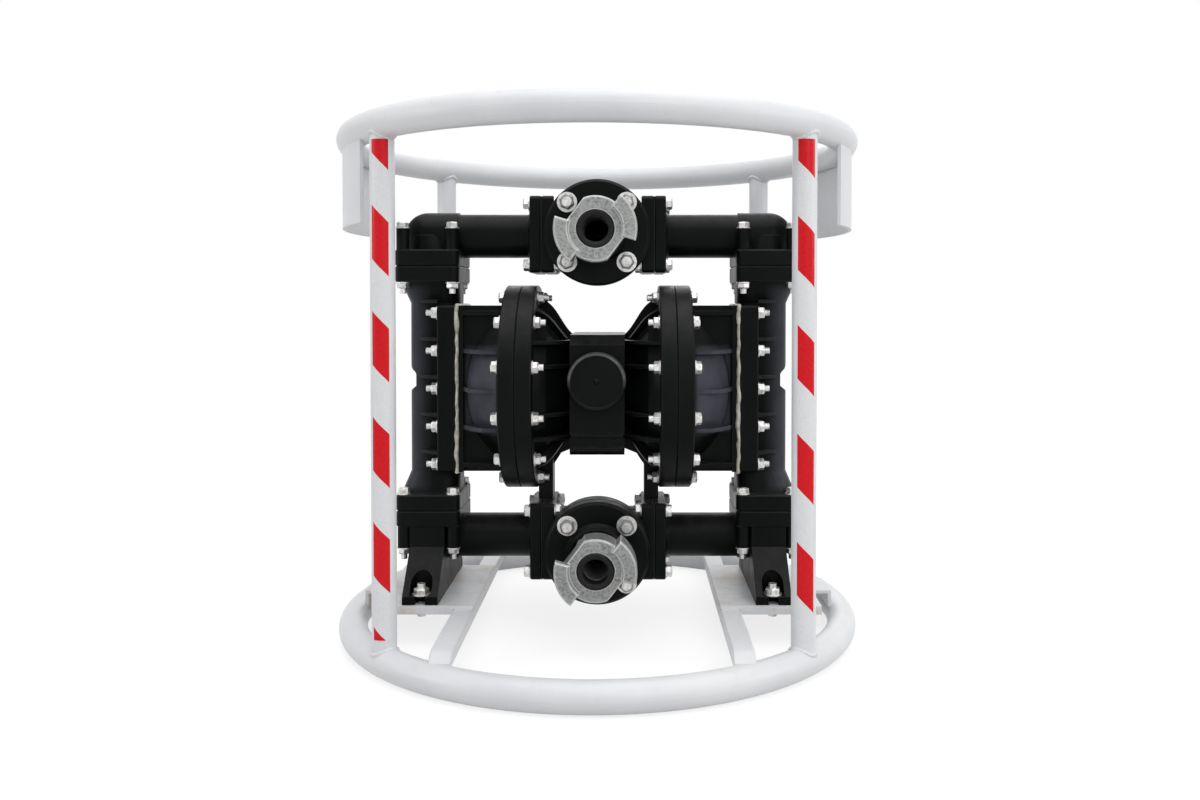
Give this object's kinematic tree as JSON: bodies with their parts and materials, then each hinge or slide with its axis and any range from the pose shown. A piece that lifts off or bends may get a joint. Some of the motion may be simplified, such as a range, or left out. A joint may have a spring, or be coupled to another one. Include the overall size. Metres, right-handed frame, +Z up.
{
  "type": "double-diaphragm pump",
  "caption": "Air-operated double-diaphragm pump in black plastic, bolted inside a white round tubular carrying cage, with claw couplings on its suction and discharge ports.",
  "frame": {"origin": "centre of the bottom hoop, on the floor that the hoop stands on", "axes": "+Z up; -Y the way the two couplings face, the front; X along the pump's shaft"},
  "size_m": [0.6439, 0.644, 0.62],
  "materials": {
    "white_paint": "gloss",
    "black_plastic": "satin",
    "cast_aluminium": "as cast",
    "black_rubber": "matt",
    "cream_sealant": "satin",
    "zinc_steel": "zinc plated",
    "bright_steel": "turned",
    "white_ptfe": "satin",
    "bronze": "turned",
    "spool_aluminium": "anodised"
  },
  "bodies": {
    "frame": {"air_chamber_left": "black_plastic", "air_chamber_right": "black_plastic", "air_valve_body": "black_plastic", "air_valve_bolts": "zinc_steel", "air_valve_end_caps": "black_plastic", "air_valve_gasket": "black_rubber", "base_rail_left": "white_paint", "base_rail_right": "white_paint", "bottom_ring": "white_paint", "center_block": "black_plastic", "clamp_bolts": "zinc_steel", "column_bolts": "zinc_steel", "column_gasket_left": "cream_sealant", "column_gasket_right": "cream_sealant", "diaphragm_left": "black_rubber", "diaphragm_right": "black_rubber", "discharge_coupling": "cast_aluminium", "discharge_coupling_seal": "black_rubber", "discharge_elbow_left": "black_plastic", "discharge_elbow_right": "black_plastic", "discharge_port_flange": "black_plastic", "discharge_tee": "black_plastic", "elbow_bolts": "zinc_steel", "fluid_chamber_left": "black_plastic", "fluid_chamber_right": "black_plastic", "foot_bolts": "zinc_steel", "manifold_gaskets": "black_rubber", "mounting_pad_left": "white_paint", "mounting_pad_right": "white_paint", "muffler": "black_plastic", "port_bolts": "zinc_steel", "post_front_left": "white_paint", "post_front_right": "white_paint", "post_rear_left": "white_paint", "post_rear_right": "white_paint", "shaft_bushes": "bronze", "side_plate_left": "white_paint", "side_plate_right": "white_paint", "suction_coupling": "cast_aluminium", "suction_coupling_seal": "black_rubber", "suction_elbow_left": "black_plastic", "suction_elbow_right": "black_plastic", "suction_port_flange": "black_plastic", "suction_tee": "black_plastic", "tee_bolts": "zinc_steel", "top_ring": "white_paint", "valve_column_left": "black_plastic", "valve_column_right": "black_plastic", "valve_seats": "white_ptfe"},
    "shaft": {"main_shaft": "bright_steel", "inner_plate_left": "bright_steel", "inner_plate_right": "bright_steel", "outer_plate_left": "black_plastic", "outer_plate_right": "black_plastic"},
    "pilot": {"pilot_rod": "bright_steel"},
    "spool": {"air_valve_spool": "spool_aluminium"},
    "discharge_ball_left": {"discharge_ball_left": "white_ptfe"},
    "discharge_ball_right": {"discharge_ball_right": "white_ptfe"},
    "suction_ball_left": {"suction_ball_left": "white_ptfe"},
    "suction_ball_right": {"suction_ball_right": "white_ptfe"}
  },
  "joints": [
    {"name": "shaft_slide", "type": "slide", "parent": "frame", "child": "shaft", "axis": [1, 0, 0], "range_m": [-0.02, 0.02], "deforming": ["diaphragm_left", "diaphragm_right"]},
    {"name": "pilot_slide", "type": "slide", "parent": "frame", "child": "pilot", "axis": [1, 0, 0], "range_m": [-0.003, 0.003]},
    {"name": "spool_slide", "type": "slide", "parent": "frame", "child": "spool", "axis": [1, 0, 0], "range_m": [-0.006, 0.006]},
    {"name": "discharge_ball_left_lift", "type": "slide", "parent": "frame", "child": "discharge_ball_left", "axis": [0, 0, 1], "range_m": [0, 0.012]},
    {"name": "discharge_ball_right_lift", "type": "slide", "parent": "frame", "child": "discharge_ball_right", "axis": [0, 0, 1], "range_m": [0, 0.012]},
    {"name": "suction_ball_left_lift", "type": "slide", "parent": "frame", "child": "suction_ball_left", "axis": [0, 0, 1], "range_m": [0, 0.012]},
    {"name": "suction_ball_right_lift", "type": "slide", "parent": "frame", "child": "suction_ball_right", "axis": [0, 0, 1], "range_m": [0, 0.012]}
  ],
  "couplings": [
    {"joint": "pilot_slide", "follows": "shaft_slide", "ratio": 0.15}
  ]
}
